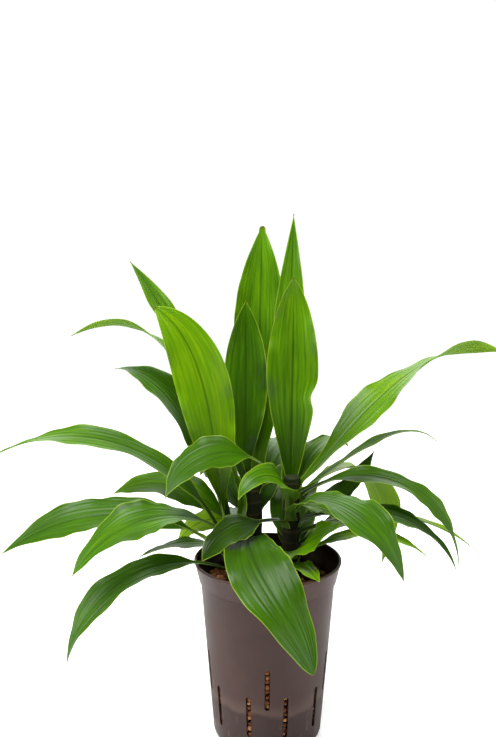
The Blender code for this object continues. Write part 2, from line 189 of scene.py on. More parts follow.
def pot_mesh():
    """Points and faces of the pot: a profile turned round the axis. Below the collar the columns
    draw together at each slot, and the rows bend to its round ends. Inner and outer wall have the
    same rows, so a slot is the cells left out of both, joined by quads round its edge."""
    half = SLOT_WIDTH / 2
    sweep = np.radians(np.linspace(-90.0, 90.0, SLOT_COLUMNS))
    in_slot = np.concatenate([[-1.0] * WALL_COLUMNS, np.sin(sweep), [1.0] * (WALL_COLUMNS - 1)])
    outward = np.arange(1, WALL_COLUMNS) / WALL_COLUMNS
    beside = np.concatenate([[1.0], outward[::-1], np.zeros(SLOT_COLUMNS), outward])
    dip = half * (1.0 - np.sqrt(1.0 - in_slot ** 2)) * (1.0 - beside)
    per_sector = len(in_slot)
    columns = SECTORS * per_sector

    corner = (WALL_FOOT_RADIUS - FOOT_CORNER, FOOT_CORNER)
    lip = (RIM_RADIUS - LIP_RADIUS, POT_HEIGHT - LIP_RADIUS)
    wall = np.stack([wall_radius(WALL_ROWS), WALL_ROWS], axis=1)
    underside = np.stack([np.linspace(FLOOR_HUB, corner[0], FLOOR_ROWS), np.zeros(FLOOR_ROWS)], axis=1)
    collar = np.array([(COLLAR_FOOT[0] - EDGE, COLLAR_FOOT[1] - EDGE), COLLAR_FOOT,
                       (COLLAR_FOOT[0] + EDGE / 3, COLLAR_FOOT[1] + EDGE)])
    inner_collar = np.array([(COLLAR_TOP[0] - WALL, COLLAR_TOP[1]),
                             (COLLAR_FOOT[0] - WALL, COLLAR_FOOT[1] + WALL)])
    floor = np.stack([np.linspace(corner[0], FLOOR_HUB, FLOOR_ROWS), np.full(FLOOR_ROWS, WALL)], axis=1)
    blocks = [underside, arc(corner, FOOT_CORNER, -90, 0, CORNER_STEPS)[1:-1], wall, collar,
              arc(lip, LIP_RADIUS, -60, 180, LIP_STEPS), inner_collar, (wall - (WALL, 0.0))[::-1],
              arc(corner, FOOT_CORNER - WALL, 0, -90, CORNER_STEPS)[1:-1], floor]
    profile = np.concatenate(blocks)
    starts = np.cumsum([0] + [len(block) for block in blocks])
    is_wall = np.zeros(len(profile), bool)
    is_wall[starts[2]:starts[3]] = is_wall[starts[6]:starts[7]] = True
    inward = np.where(np.arange(len(profile)) >= starts[6], WALL, 0.0)

    sector = np.arange(columns) // per_sector
    across, out, bend = [np.tile(a, SECTORS) for a in (in_slot, beside, dip)]
    foot = np.array([slot_of(k) or math.nan for k in range(SECTORS)])[sector]
    height = profile[:, 1][:, None]
    ends = [np.clip(1.0 - np.abs(height - end) / SLOT_SPREAD, 0.0, 1.0)
            for end in (foot, foot + SLOT_LENGTH)]
    shift = np.nan_to_num(bend * (ends[0] - ends[1])) * is_wall[:, None]
    z = height + shift
    radius = np.where(is_wall[:, None], wall_radius(z) - inward[:, None], profile[:, 0][:, None])
    slot_angle = half / np.maximum(radius, LEAST_RADIUS)
    offset = across * slot_angle + np.sign(across) * out * (math.pi / SECTORS - slot_angle)
    angle = math.radians(FRONT) + math.tau * sector / SECTORS + offset
    rings = np.stack([radius * np.cos(angle), radius * np.sin(angle), z], axis=-1)

    cell_column = np.arange(columns) % per_sector
    over_slot = (cell_column >= WALL_COLUMNS) & (cell_column < WALL_COLUMNS + SLOT_COLUMNS - 1)
    low = WALL_ROWS[:-1, None]
    with np.errstate(invalid="ignore"):
        open_cells = over_slot & (low >= foot) & (low < foot + SLOT_LENGTH)
    kept = np.ones((len(profile) - 1, columns), bool)
    kept[starts[2]:starts[3] - 1] = ~open_cells
    kept[starts[6]:starts[7] - 1] = ~open_cells[::-1]
    faces = [grid_faces(len(profile), columns, ring=True)[kept.ravel()]]

    index = np.arange(len(profile) * columns).reshape(len(profile), columns)
    outer, inner = index[starts[2]:starts[3]], index[starts[6]:starts[7]][::-1]
    above = np.vstack([open_cells, np.zeros((1, columns), bool)])
    below = np.vstack([np.zeros((1, columns), bool), open_cells])
    right, left = np.roll(outer, -1, axis=1), np.roll(inner, -1, axis=1)
    for where, turn in ((above & ~below, 1), (below & ~above, -1)):
        rim = np.stack([outer[where], right[where], left[where], inner[where]], axis=1)
        faces.append(rim[:, ::turn])
    before = np.roll(open_cells, 1, axis=1)
    for where, turn in ((before & ~open_cells, 1), (open_cells & ~before, -1)):
        rim = np.stack([outer[:-1][where], outer[1:][where], inner[1:][where], inner[:-1][where]], axis=1)
        faces.append(rim[:, ::turn])
    points = np.vstack([rings.reshape(-1, 3), [(0.0, 0.0, 0.0), (0.0, 0.0, WALL)]])
    faces += [fan(len(points) - 2, index[0][::-1]), fan(len(points) - 1, index[-1])]
    return points, faces


# Polypropylene, injection moulded in a lightly eroded tool, with a soft satin sheen. Below a wavering
# tide line it is darker, just above it a pale crust has dried on, and faint streaks of lime
# run down near the foot.
TIDE_WAVER = 0.02                      # metres from the tide line's lowest to its highest place
moulded_polypropylene, tree, shader = new_material("moulded_polypropylene")
place = add(tree, "TexCoord").outputs["Object"]
height = add(tree, "SeparateXYZ", {0: place}).outputs["Z"]
clouds = add(tree, "TexNoise", {"Vector": place, "Scale": 28.0, "Detail": 3.0}).outputs["Fac"]
taupe = ramp(tree, clouds, [(0.3, "#361f19"), (0.7, "#422922")])
tide = add(tree, "TexNoise", {"Vector": place, "Scale": 22.0, "Detail": 3.0}).outputs["Fac"]
tide = add(tree, "Math", {0: tide, 1: TIDE_WAVER, 2: height}, operation="MULTIPLY_ADD").outputs[0]
# Darker below the wavering tide line.
darker_below_tide = add(tree, "MapRange", {"Value": tide, 1: 0.063, 2: 0.057, 3: 0.0, 4: 0.7}).outputs[0]
taupe = blend(tree, darker_below_tide, taupe, "#2a1512")
above_tide = add(tree, "MapRange", {"Value": tide, 1: 0.073, 2: 0.061, 3: 0.0, 4: 0.14}).outputs[0]
still_dry = add(tree, "MapRange", {"Value": tide, 1: 0.057, 2: 0.061}).outputs[0]
crust = add(tree, "Math", {0: above_tide, 1: still_dry}, operation="MULTIPLY").outputs[0]
taupe = blend(tree, crust, taupe, "#8a7468")
drips = add(tree, "Mapping", {"Vector": place, "Scale": (1.0, 1.0, 0.35)}).outputs[0]
lime = add(tree, "TexNoise", {"Vector": drips, "Scale": 210.0, "Detail": 4.0}).outputs["Fac"]
lime = add(tree, "MapRange", {"Value": lime, 1: 0.6, 2: 0.72}).outputs[0]
near_foot = add(tree, "MapRange", {"Value": height, 1: 0.06, 2: 0.01, 3: 0.0, 4: 0.5}).outputs[0]
lime = add(tree, "Math", {0: lime, 1: near_foot}, operation="MULTIPLY").outputs[0]
tree.links.new(blend(tree, lime, taupe, "#7a6a60"), shader.inputs["Base Color"])
dull = add(tree, "MapRange", {"Value": clouds, 1: 0.3, 2: 0.7, 3: 0.36, 4: 0.48}).outputs[0]
tree.links.new(dull, shader.inputs["Roughness"])
shader.inputs["Specular IOR Level"].default_value = 0.3
grain = add(tree, "TexNoise", {"Vector": place, "Scale": 1400.0, "Detail": 2.0}).outputs["Fac"]
grain = add(tree, "Bump", {"Height": grain, "Strength": 0.12, "Distance": 0.0003})
tree.links.new(grain.outputs[0], shader.inputs["Normal"])

piece("culture_pot", *pot_mesh(), moulded_polypropylene, "pot_plastic", "pot")

# Clay granules: balls of clay that were tumbled and fired until they puffed up, 5 to 9 mm across.
# They fill the pot loosely to two centimetres below its rim, and show behind the slots.
CLAY_TOP = 165.0
BED_TOP = 159.0                        # the heap, painted dark as shade, under the loose granules on top
BED_SETBACK = 4.5                      # and behind those at the slots
STONE_PITCH = 6.6
SLOT_STONE_PITCH = 5.6
STONE_RANKS = (5, 8)                   # rows between the poles of a stone's ball, and columns
LAYER_DEPTHS = (5.5, 2.6, 0.0)         # of the three layers on top, below the fill's top
TOP_SHARE = 0.55                       # share of the top layer's places that have a stone
ROW_SPACING = 0.87                     # between rows, as a share of the pitch along them
STONE_JITTER = 1.2
SIDE_STONE = 5.4                       # from a slot's middle to the columns of stones beside it
HEAP_COLUMNS = 48
CANES = {
    "left": dict(x=-32.0, y=4.0, lean_x=-0.06, lean_y=0.02, top=232.0, radius=8.0),
    "right": dict(x=22.0, y=-2.0, lean_x=0.02, lean_y=0.03, top=277.0, radius=8.5),
    "back": dict(x=-14.0, y=28.0, lean_x=0.0, lean_y=0.03, top=272.0, radius=8.0),
}
random = np.random.default_rng(7)


def stone_places():
    """Middles and radii of the stones: three jittered layers in staggered rows on top, without those
    that a cane stands on, and behind each slot a jittered column, with one more on either side."""
    reach = wall_radius(CLAY_TOP) - WALL
    count = int(reach / STONE_PITCH) + 2
    i, j = [a.ravel() for a in np.meshgrid(np.arange(-count, count + 1), np.arange(-count, count + 1))]
    middles, radii = [], []
    for layer, depth in enumerate(LAYER_DEPTHS):
        x = (i + (j % 2) / 2 + layer / 3) * STONE_PITCH
        x = x + random.uniform(-STONE_JITTER, STONE_JITTER, i.shape)
        y = (j + layer / 2) * STONE_PITCH * ROW_SPACING
        y = y + random.uniform(-STONE_JITTER, STONE_JITTER, i.shape)
        radius = random.uniform(2.9, 4.1, i.shape)
        stay = np.hypot(x, y) < reach - radius
        if layer == 2:
            stay &= random.uniform(0, 1, i.shape) < TOP_SHARE
        for cane in CANES.values():
            stay &= np.hypot(x - cane["x"], y - cane["y"]) > cane["radius"] + radius * 0.7
        z = CLAY_TOP - depth + random.uniform(-1.0, 1.0, i.shape)
        middles.append(np.stack([x, y, z], axis=1)[stay])
        radii.append(radius[stay])
    for sector in range(SECTORS):
        foot = slot_of(sector)
        if foot is None:
            continue
        rows = np.arange(foot - 1.0, foot + SLOT_LENGTH + 2.0, SLOT_STONE_PITCH)
        z, x = [a.ravel() for a in np.meshgrid(rows, (-SIDE_STONE, 0.0, SIDE_STONE))]
        in_slot = x == 0
        z = z + random.uniform(-1.0, 1.0, z.shape) + np.where(in_slot, SLOT_STONE_PITCH / 2, 0.0)
        x = x + random.uniform(-1.1, 1.1, x.shape) * np.where(in_slot, 0.4, 1.0)
        radius = random.uniform(2.3, 3.2, x.shape)
        out = wall_radius(z) - WALL - radius - random.uniform(0.0, 0.9, x.shape)
        out = out + np.where(in_slot, 0.5, -0.2)
        angle = math.radians(FRONT) + math.tau * sector / SECTORS + x / out
        middles.append(np.stack([out * np.cos(angle), out * np.sin(angle), z], axis=1))
        radii.append(radius)
    return np.concatenate(middles), np.concatenate(radii)


def ball(rows, columns):
    """Points of a unit ball, pole, rows and pole, and its faces."""
    fall = np.radians(180.0 * np.arange(1, rows + 1) / (rows + 1))[:, None]
    turn = math.tau * np.arange(columns)[None, :] / columns
    ring = np.stack([np.sin(fall) * np.cos(turn), np.sin(fall) * np.sin(turn),
                     np.cos(fall) * np.ones_like(turn)], axis=-1).reshape(-1, 3)
    points = np.vstack([ring, [(0, 0, 1.0), (0, 0, -1.0)]])
    last = rows * columns
    quads = grid_faces(rows, columns, ring=True)[:, ::-1]
    caps = [fan(last, np.arange(columns)), fan(last + 1, np.arange(last - columns, last)[::-1])]
    return points, quads, np.concatenate(caps)


def granule_mesh():
    """The heap and its stones. The heap is a turned body, painted darkest as the shade between the
    stones. Each stone is the ball, turned any way, flattened along its own axes, and lumpy: its radius
    goes up and down by two slow sine waves."""
    heights = np.array([2.0, 10.0, 40.0, 80.0, 120.0, BED_TOP])
    rim = np.minimum(wall_radius(heights), WALL_FOOT_RADIUS + heights) - WALL - BED_SETBACK
    turn = math.tau * np.arange(HEAP_COLUMNS) / HEAP_COLUMNS
    heap = np.stack([rim[:, None] * np.cos(turn), rim[:, None] * np.sin(turn),
                     heights[:, None] * np.ones_like(turn)], axis=-1).reshape(-1, 3)
    heap = np.vstack([heap, [(0.0, 0.0, heights[0]), (0.0, 0.0, BED_TOP)]])
    last = len(heights) * HEAP_COLUMNS
    faces = [grid_faces(len(heights), HEAP_COLUMNS, ring=True), fan(last, np.arange(HEAP_COLUMNS)[::-1]),
             fan(last + 1, np.arange(last - HEAP_COLUMNS, last))]

    middles, radii = stone_places()
    points, quads, caps = ball(*STONE_RANKS)
    count = len(middles)
    axes = np.linalg.qr(random.normal(size=(count, 3, 3)))[0]
    axes *= np.sign(np.linalg.det(axes))[:, None, None]
    lumps = np.ones((count, len(points)))
    for strength, pace in ((0.10, 2.2), (0.06, 4.0)):
        direction = random.normal(size=(count, 3)) * pace
        phase = random.uniform(0, math.tau, (count, 1))
        lumps += strength * np.sin(points @ direction.T + phase.T).T
    flat = random.uniform(0.82, 1.06, (count, 1, 3))
    stones = (points[None] * flat * (lumps * radii[:, None])[..., None]) @ axes + middles[:, None]
    first = len(heap) + np.arange(count)[:, None, None] * len(points)
    faces += [(quads[None] + first).reshape(-1, 4), (caps[None] + first).reshape(-1, 3)]
    tone = np.repeat(random.uniform(0.25, 1.0, count), len(points))
    # Painted shade: the heap's tone is 0, the darkest clay, for the shade between the stones.
    tone = np.concatenate([np.zeros(len(heap)), tone])
    return np.vstack([heap, stones.reshape(-1, 3)]), faces, tone


# Fired clay: matt and open-pored, from reddish brown to tan by each stone's own tone, and darkest on
# the heap, where the dark is painted shade. The pores are drawn 1 mm wide, several times life size,
# or they wouldn't show.
fired_clay, tree, shader = new_material("fired_clay")
place = add(tree, "TexCoord").outputs["Object"]
tone = add(tree, "Attribute", attribute_name="tone").outputs["Fac"]
pores = add(tree, "TexNoise", {"Vector": place, "Scale": 900.0, "Detail": 3.0}).outputs["Fac"]
tone_pores_and_shade = add(tree, "Math", {0: pores, 1: 0.35, 2: tone}, operation="MULTIPLY_ADD").outputs[0]
tone_pores_and_shade = add(tree, "Math", {0: tone_pores_and_shade, 1: 0.17}, operation="SUBTRACT").outputs[0]
clay_colour = ramp(tree, tone_pores_and_shade, [(0.0, "#160b07"), (0.25, "#522a18"), (0.6, "#8c5029"), (1.0, "#c8905c")])
tree.links.new(clay_colour, shader.inputs["Base Color"])
shader.inputs["Roughness"].default_value = 0.92
pits = add(tree, "Bump", {"Height": pores, "Strength": 0.6, "Distance": 0.0008})
tree.links.new(pits.outputs[0], shader.inputs["Normal"])

points, faces, tones = granule_mesh()
piece("granules", points, faces, fired_clay, "fired_clay", "clay_granules", tone=tones)

# Canes: the three woody stems that the leaves grow from, rooted four centimetres deep among the
# granules. Each fallen leaf left a raised ring round the bark. Their tips are still green.
STEM_DEPTH = 40.0
SCAR_SPACING = 12.0
SCAR_START = 9.0                       # from a cane's tip down to its first ring
SCAR_HEIGHT = 0.35
SCAR_WIDTH = 0.9
SCAR_TILT = 0.8
CANE_COLUMNS = 40
CANE_STEP = 0.7                        # between rows of points
DOME_HEIGHT = 4.0                      # of a cane's rounded tip
DOME_ROWS = 8
DOME_END = 84.0                        # degrees round the dome to its last row


def cane_axis(cane):
    """Unit vector up a cane."""
    axis = np.array([cane["lean_x"], cane["lean_y"], 1.0])
    return axis / np.linalg.norm(axis)


def cane_mesh(cane, seed):
    """A round bar along the cane's axis with a domed tip. Its radius rises at each ring, which runs
    a little askew, and wanders by slow sine waves up and round it."""
    axis = cane_axis(cane)
    side = np.cross([0.0, 1.0, 0.0], axis)
    side /= np.linalg.norm(side)
    third = np.cross(axis, side)
    length = (cane["top"] - CLAY_TOP) / axis[2]
    run = np.arange(-STEM_DEPTH, length - DOME_HEIGHT, CANE_STEP)[:, None]
    round_dome = np.radians(np.linspace(0.0, DOME_END, DOME_ROWS))[:, None]
    dome = length - DOME_HEIGHT * (1.0 - np.sin(round_dome))
    turn = math.tau * np.arange(CANE_COLUMNS)[None, :] / CANE_COLUMNS
    up = np.vstack([run, dome])
    below_tip = length - SCAR_START - up + SCAR_TILT * np.sin(turn + seed + up / SCAR_SPACING)
    nearest = (below_tip + SCAR_SPACING / 2) % SCAR_SPACING - SCAR_SPACING / 2
    scar = np.exp(-(nearest / SCAR_WIDTH) ** 2) * (below_tip > -SCAR_SPACING / 2)
    uneven = 0.12 * np.sin(3 * turn + up / 9.0 + seed) + 0.08 * np.sin(7 * turn - up / 5.0)
    shrink = np.vstack([np.ones_like(run), np.cos(round_dome)])
    radius = (cane["radius"] - 0.1 + SCAR_HEIGHT * scar + uneven) * shrink
    foot = np.array([cane["x"], cane["y"], CLAY_TOP])
    points = (foot + up[..., None] * axis + (radius * np.cos(turn))[..., None] * side
              + (radius * np.sin(turn))[..., None] * third)
    rows = len(up)
    ends = [foot - STEM_DEPTH * axis, foot + length * axis]
    last = rows * CANE_COLUMNS
    faces = [grid_faces(rows, CANE_COLUMNS, ring=True), fan(last, np.arange(CANE_COLUMNS)[::-1]),
             fan(last + 1, np.arange(last - CANE_COLUMNS, last))]
    bark = np.stack([scar, np.broadcast_to((length - up) / length, scar.shape), up + 0 * turn], axis=-1)
    bark = np.vstack([bark.reshape(-1, 3), [(0.0, 1.0, -STEM_DEPTH), (0.0, 0.0, length)]])
    return np.vstack([points.reshape(-1, 3), ends]), faces, bark


# Thin dry bark over a green stem: dull grey-brown with pale raised rings and fine upright cracks,
# painted nearly black all over, as painted shade inside the crown.
green_bark, tree, shader = new_material("green_bark")
place = add(tree, "TexCoord").outputs["Object"]
bark = add(tree, "SeparateXYZ", {0: add(tree, "Attribute", attribute_name="bark").outputs["Vector"]})
blotch = add(tree, "TexNoise", {"Vector": place, "Scale": 160.0, "Detail": 4.0}).outputs["Fac"]
# Painted shade: the bark is painted almost black, as the shade among the leaves' feet.
bark_in_painted_shade = ramp(tree, blotch, [(0.3, "#0d0a04"), (0.7, "#231b0c")])
greener = add(tree, "MapRange", {"Value": bark.outputs["Y"], 1: 0.7, 2: 0.0, 3: 0.1, 4: 0.75}).outputs[0]
bark_in_painted_shade = blend(tree, greener, bark_in_painted_shade, "#1c2b06")
pale = add(tree, "Math", {0: bark.outputs["X"], 1: 0.55}, operation="MULTIPLY").outputs[0]
tree.links.new(blend(tree, pale, bark_in_painted_shade, "#42381f"), shader.inputs["Base Color"])
shader.inputs["Roughness"].default_value = 0.7
shader.inputs["Specular IOR Level"].default_value = 0.2
upright = add(tree, "Mapping", {"Vector": place, "Scale": (1.0, 1.0, 0.15)}).outputs[0]
cracks = add(tree, "TexNoise", {"Vector": upright, "Scale": 900.0, "Detail": 3.0}).outputs["Fac"]
cracks = add(tree, "Bump", {"Height": cracks, "Strength": 0.5, "Distance": 0.0006})
tree.links.new(cracks.outputs[0], shader.inputs["Normal"])

for seed, (name, cane) in enumerate(CANES.items()):
    points, faces, bark = cane_mesh(cane, seed)
    piece(f"cane_{name}", points, faces, green_bark, "cane", f"stem_{name}", bark=bark)

# Leaves: strap-shaped blades, leathery and glossy, that clasp the canes with their feet. Each has
# a grooved midrib, lengthwise pleats between its parallel veins, a thin lime margin and wavy edges.
BLADE_SEAT = 1.1                       # from the cane's surface to the middle of the blade
SHEATH = 13.0                          # height over which the foot hugs the cane
SWING = 45.0                           # run over which the heading goes from side to turn
ROLL_SHARE = 0.28                      # share of the length over which the blade rolls
FLARE = 1.5                            # the foot is this much wider each way, fading over FLARE_RUN
FLARE_RUN = 8.0
NECK_RUN = 30.0                        # run over which a broad neck opens
TIP_HALF = 0.45                        # half the width of the tip
MIDRIB_STEPS = 240

# seat is the height of a leaf's foot, side the direction of the cane's flank that it sits on, and
# turn the direction that it heads in, both in degrees from +X towards +Y. rise and tip are the
# slopes of the midrib at its two ends, and bend says how late the slope changes. length runs along
# the midrib, and width is across the widest place. The others are as blade_surface tells.
LEAVES = (
    dict(stem="left", seat=218, side=40, turn=141, rise=67.5, tip=41, bend=1.4, length=322,
         width=36, widest=0.6, stalk=0.15),
    dict(stem="left", seat=215, side=214, turn=168, rise=83, tip=30, bend=3.9, length=248, width=55,
         widest=0.58, roll=-70, point=0.8),
    dict(stem="left", seat=216, side=127, turn=155, rise=79, tip=-77, bend=2.7, length=330,
         width=24, twist=60, hook=52, stalk=0.2, grip=4.5),
    dict(stem="left", seat=200, side=122, turn=155, rise=70, tip=-12, bend=3.0, length=242,
         width=46, widest=0.55, roll=-10, stalk=0.2),
    dict(stem="left", seat=188, side=170, turn=172, rise=78, tip=-32, bend=0.9, length=316,
         width=38, widest=0.5, roll=-20, twist=25, stalk=0.2, point=0.8),
    dict(stem="right", seat=254, side=176, turn=204, rise=67, tip=-72, length=165, width=52,
         widest=0.42, roll=-20, stalk=0.34, point=1.5, cup=10, grip=4.5),
    dict(stem="left", seat=178, side=165, turn=186, rise=59, tip=-37, bend=0.75, length=259,
         width=48, roll=-28, stalk=0.22, grip=4.0),
    dict(stem="left", seat=196, side=252, turn=203, rise=72, tip=-56, bend=0.8, length=204,
         width=56, roll=-12, stalk=0.28),
    dict(stem="left", seat=186, side=85, turn=165, rise=70, tip=-33, bend=1.0, length=181, width=42,
         roll=-25, stalk=0.25),
    dict(stem="left", seat=170, side=232, turn=200, rise=35, tip=-81, bend=1.05, length=225,
         width=40, roll=-15, stalk=0.22, grip=4.5),
    dict(stem="left", seat=172, side=100, turn=192, rise=26, tip=-27, bend=1.4, length=118,
         width=26, stalk=0.15, grip=4.0),
    dict(stem="back", seat=206, side=165, turn=160, rise=26, tip=-66, bend=1.0, length=102,
         width=30, roll=-40, stalk=0.2),
    dict(stem="left", seat=182, side=285, turn=185, rise=40, tip=24, bend=1.0, length=94, width=10,
         grip=3.0),
    dict(stem="right", seat=224, side=225, turn=208, rise=22, tip=-52, bend=1.1, length=109,
         width=42, roll=-12, stalk=0.34, neck=1.0),
    dict(stem="back", seat=194, side=-80, turn=-122, sweep=101, rise=35, tip=-71, bend=1.05,
         length=236, width=58, widest=0.5, roll=15, stalk=0.18, point=0.75, cup=8, neck=8.0),
    dict(stem="right", seat=182, side=-78, turn=-60, rise=20, tip=-15, bend=1.0, length=66,
         width=24, grip=4.0),
    dict(stem="right", seat=242, side=258, turn=216, rise=86, tip=-70, bend=1.3, length=100,
         width=34, widest=0.36, roll=-25, grip=4.2, neck=4.0),
    dict(stem="right", seat=268, side=92, turn=84, rise=88, tip=78, bend=1.5, length=206, width=52,
         widest=0.5, hook=30, point=0.85, grip=6.0, neck=9.0),
    dict(stem="back", seat=246, side=75, turn=84, rise=84, tip=77, length=281, width=57,
         widest=0.52, point=0.9, neck=5.0, blunt=3.5),
    dict(stem="right", seat=240, side=122, turn=81, rise=79, tip=78, length=302, width=34,
         widest=0.5, point=1.2, grip=4.5),
    dict(stem="back", seat=266, side=150, turn=90, rise=84, tip=86, length=182, width=46,
         widest=0.5, point=0.95, neck=6.0),
    dict(stem="right", seat=262, side=5, turn=25, rise=45, tip=-27, bend=2.5, length=303, width=46,
         widest=0.42, roll=22, twist=-150, point=1.5, neck=5.0),
    dict(stem="right", seat=254, side=-60, turn=5, rise=36, tip=-58, bend=4.6, length=172,
         width=18),
    dict(stem="right", seat=216, side=45, turn=12, rise=16, tip=66, length=120, width=30, roll=20),
    dict(stem="right", seat=248, side=5, turn=-5, rise=43, tip=-88, bend=1.0, length=223, width=38,
         roll=12, stalk=0.15),
    dict(stem="right", seat=224, side=-3, turn=-4, rise=17, tip=-72, bend=1.6, length=190, width=28,
         roll=12),
    dict(stem="right", seat=208, side=18, turn=6, rise=23, tip=-46, length=212, width=22),
    dict(stem="right", seat=232, side=-95, turn=-42, rise=56, tip=-66, bend=0.9, length=182,
         width=58, stalk=0.16),
    dict(stem="right", seat=236, side=42, turn=46, rise=56, tip=-112, bend=0.9, length=254,
         width=46, stalk=0.18, grip=4.5),
    dict(stem="right", seat=186, side=-10, turn=-8, rise=37, tip=-44, bend=1.4, length=148,
         width=24, grip=4.0),
    dict(stem="right", seat=192, side=-75, turn=-42, rise=35, tip=36, bend=1.0, length=90, width=44,
         widest=0.36, roll=32, cup=12, neck=3.0),
    dict(stem="right", seat=240, side=-30, turn=-28, rise=8, tip=-25, bend=1.0, length=58, width=30,
         grip=4.5, neck=2.0),
    dict(stem="right", seat=254, side=60, turn=50, rise=66, tip=-46, bend=1.3, length=120, width=26,
         grip=4.5),
    dict(stem="back", seat=236, side=130, turn=98, rise=62, tip=-20, length=240, width=48),
    dict(stem="back", seat=222, side=72, turn=74, rise=70, tip=-50, bend=0.8, length=230, width=46,
         widest=0.35, stalk=0.03, neck=6.0),
    dict(stem="right", seat=202, side=100, turn=80, rise=50, tip=-75, bend=0.9, length=230,
         width=46, widest=0.35, stalk=0.03, neck=5.0),
    dict(stem="right", seat=196, side=24, turn=38, rise=22, tip=-25, bend=1.1, length=150,
         width=38),
    dict(stem="back", seat=220, side=178, turn=120, rise=64, tip=-40, bend=1.1, length=115,
         width=36, widest=0.4, stalk=0.05, neck=5.0),
    dict(stem="back", seat=250, side=-12, turn=55, rise=29, tip=8, length=120, width=32),
    dict(stem="back", seat=190, side=110, turn=100, rise=45, tip=-80, bend=0.8, length=195,
         width=42, widest=0.35, stalk=0.03, neck=5.0),
    dict(stem="right", seat=190, side=84, turn=82, rise=45, tip=-80, bend=0.8, length=180, width=40,
         widest=0.35, stalk=0.03, neck=5.0),
)

# By leaf: its tone, from 0, old and dark, to about 1, young and light, then its tip's own tone, and
# a torn edge with its side, its place along the blade, its reach and its depth. The tones are partly
# painted light: they also paint how each leaf and tip is lit, lighter where light comes through from
# behind and darker in shade.
TONES_WITH_PAINTED_LIGHT = {1: 0.65, 2: 0.72, 3: 0.5, 4: 0.3, 5: 0.33, 6: 0.3, 7: 0.32, 8: 0.38, 9: 0.55, 10: 0.35,
         12: 0.95, 13: 0.9, 14: 0.05, 15: 0.22, 16: 0.75, 17: 0.5, 18: 0.5, 19: 0.55, 20: 0.6,
         21: 0.4, 22: 0.6, 23: 0.1, 24: 0.1, 27: 0.85, 28: 0.35, 29: 0.95, 30: 0.8, 31: 0.6,
         32: 0.7, 33: 0.5}
USUAL_TONE = 0.4
TIP_TONES_WITH_PAINTED_LIGHT = {1: 0.4, 3: 0.95, 5: 0.8, 8: 0.5, 15: 0.3, 18: 0.65, 20: 0.45, 22: 1.1, 25: 0.5}
NOTCHES = {18: (-1.0, 0.42, 0.05, 5.5)}

WAVE = 0.07                            # rise and fall of an edge, as a share of the leaf's width
WAVES = 2.5                            # number of waves along each edge
WAVE_SHIFT = 0.37                      # how far the waves move along from one leaf to the next
EDGE_SHIFT = 0.25                      # and from the midrib to either edge
RUFFLE = 0.02                          # smaller, quicker waves right at the edge
RUFFLES = 8.3
PLEAT = 0.2                            # height of a pleat, in millimetres
PLEAT_PITCHES = (4.1, 6.7)             # two unlike pitches, so that the pleats look uneven
PLEAT_DRIFT = 1.9                      # how far a pleat wanders across on the way to the tip
GROOVE = 0.7                           # depth and width of the groove over the midrib
GROOVE_WIDTH = 1.3
KEEL = 1.0                             # the midrib stands out below, most near the foot
EDGE_THICKNESS = 0.3
MIDDLE_THICKNESS = 0.75
COLUMN = 1.15                          # width of one column of a leaf's mesh, and length of a row
ROW = 3.0
ROW_RANGE = (36, 110)                  # fewest and most rows, and columns on each side of the midrib
COLUMN_RANGE = (8, 24)
CROWDING = 1.15                        # draws rows together at the foot
TIP_ROWS = 5                           # more rows round the tip's half circle, from TIP_START degrees
TIP_START = 18.0
TONE_POWER = 3                         # how late the tip's own tone sets in
SEED_STEP = 2.7                        # sets each leaf's streaks and patches apart from the others'


def smooth(t):
    """A ramp from 0 to 1 with level ends: 3 t squared less 2 t cubed."""
    t = np.clip(t, 0.0, 1.0)
    return t * t * (3.0 - 2.0 * t)


def unit(vectors):
    """Each vector made one long."""
    return vectors / np.linalg.norm(vectors, axis=-1, keepdims=True)


